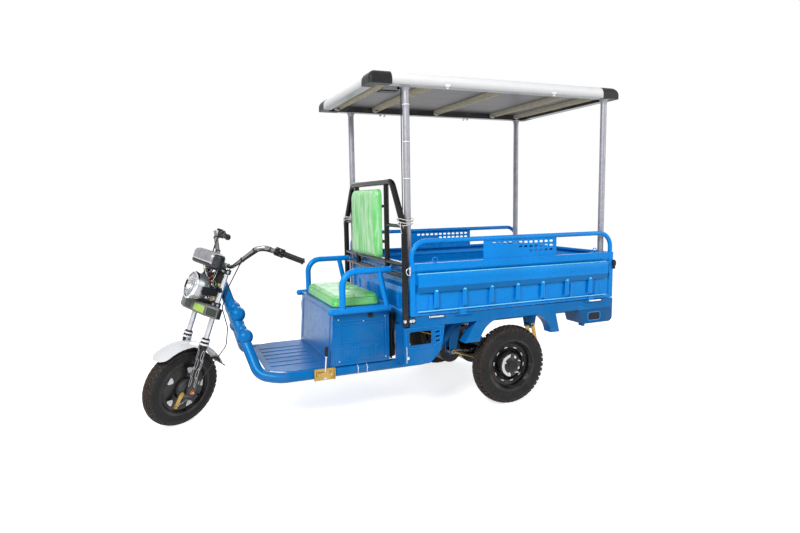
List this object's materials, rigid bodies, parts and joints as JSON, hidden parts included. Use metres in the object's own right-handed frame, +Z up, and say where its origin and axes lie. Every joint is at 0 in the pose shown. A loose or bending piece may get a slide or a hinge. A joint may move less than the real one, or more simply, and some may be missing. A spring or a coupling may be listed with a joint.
{
  "type": "electric cargo tricycle",
  "caption": "Electric cargo tricycle with a steered front wheel, bench seat over a battery box, open bed with drop sides and tailgate, and a flat solar canopy on posts.",
  "frame": {"origin": "on the ground under the middle of the vehicle as it stands", "axes": "+X to the rear, +Y to the right of the driver, +Z up"},
  "size_m": [2.885, 1.125, 1.95],
  "materials": {
    "blue_paint": "gloss",
    "black_paint": "semi-gloss",
    "silver_paint": "gloss",
    "green_vinyl": "glossy film over vinyl",
    "black_plastic": "matt",
    "grey_plastic": "satin",
    "cream_plastic": "satin",
    "black_rubber": "ribbed",
    "tyre": "matt",
    "chrome": "polished",
    "yellow_zinc": "zinc plate",
    "dark_metal": "cast",
    "zinc_tube": "galvanised",
    "zinc_channel": "galvanised",
    "white_aluminium": "satin white",
    "solar_glass": "glass over dark cells",
    "red_lens": "moulded lens",
    "clear_lens": "clear"
  },
  "bodies": {
    "chassis": {"frame": "blue_paint", "floor_pan": "blue_paint", "seat_box": "blue_paint", "battery": "black_plastic", "armrests": "blue_paint", "backrest_frame": "black_paint", "backrest_cushion": "green_vinyl", "bed_frame": "blue_paint", "bed_floor": "blue_paint", "front_wall": "blue_paint", "arch_brackets": "blue_paint", "step_boxes": "blue_paint", "rear_corner_boxes": "blue_paint", "rear_lamps": "red_lens", "rear_axle": "black_paint", "motor": "dark_metal", "leaf_springs": "black_paint", "spring_shackles": "yellow_zinc", "axle_rods": "yellow_zinc", "parking_brake": "yellow_zinc", "canopy_posts": "zinc_tube", "canopy_edges": "white_aluminium", "canopy_corners": "black_plastic", "solar_panel": "solar_glass", "canopy_ribs": "zinc_channel"},
    "steering": {"fork": "chrome", "fork_legs": "black_paint", "front_brake": "dark_metal", "front_brake_cable": "black_rubber", "front_fender": "silver_paint", "handlebar": "black_paint", "grips": "black_rubber", "hand_controls": "black_plastic", "headlight": "chrome", "headlight_lens": "clear_lens", "indicator_unit": "grey_plastic", "instrument_cluster": "grey_plastic", "horn": "cream_plastic"},
    "front_wheel": {"front_tyre": "tyre", "front_rim": "black_paint"},
    "rear_wheel_left": {"rear_tyre_left": "tyre", "rear_rim_left": "black_paint"},
    "rear_wheel_right": {"rear_tyre_right": "tyre", "rear_rim_right": "black_paint"},
    "side_gate_left": {"side_gate_left": "blue_paint"},
    "side_gate_right": {"side_gate_right": "blue_paint"},
    "tailgate": {"tailgate": "blue_paint"},
    "seat_lid": {"seat_lid": "blue_paint", "seat_cushion": "green_vinyl"}
  },
  "joints": [
    {"name": "steering_turn", "type": "hinge", "parent": "chassis", "child": "steering", "pos_m": [-1.01871, 0, 0.75], "axis": [0.3322, 0, 0.9432], "range_deg": [-76, 8]},
    {"name": "front_wheel_spin", "type": "hinge", "parent": "steering", "child": "front_wheel", "pos_m": [-1.23336, -0.01957, 0.22785], "axis": [-0.5274, 0.829, 0.1857], "continuous": true},
    {"name": "rear_wheel_left_spin", "type": "hinge", "parent": "chassis", "child": "rear_wheel_left", "pos_m": [0.65, -0.49, 0.245], "axis": [0, 1, 0], "continuous": true},
    {"name": "rear_wheel_right_spin", "type": "hinge", "parent": "chassis", "child": "rear_wheel_right", "pos_m": [0.65, 0.49, 0.245], "axis": [0, 1, 0], "continuous": true},
    {"name": "side_gate_left_drop", "type": "hinge", "parent": "chassis", "child": "side_gate_left", "pos_m": [0.65, -0.557, 0.604], "axis": [1, 0, 0], "range_deg": [0, 180]},
    {"name": "side_gate_right_drop", "type": "hinge", "parent": "chassis", "child": "side_gate_right", "pos_m": [0.65, 0.557, 0.604], "axis": [-1, 0, 0], "range_deg": [0, 180]},
    {"name": "tailgate_drop", "type": "hinge", "parent": "chassis", "child": "tailgate", "pos_m": [1.419, 0, 0.604], "axis": [0, 1, 0], "range_deg": [0, 180]},
    {"name": "seat_lid_lift", "type": "hinge", "parent": "chassis", "child": "seat_lid", "pos_m": [-0.091, 0, 0.6548], "axis": [0, 1, 0], "range_deg": [0, 60]}
  ]
}
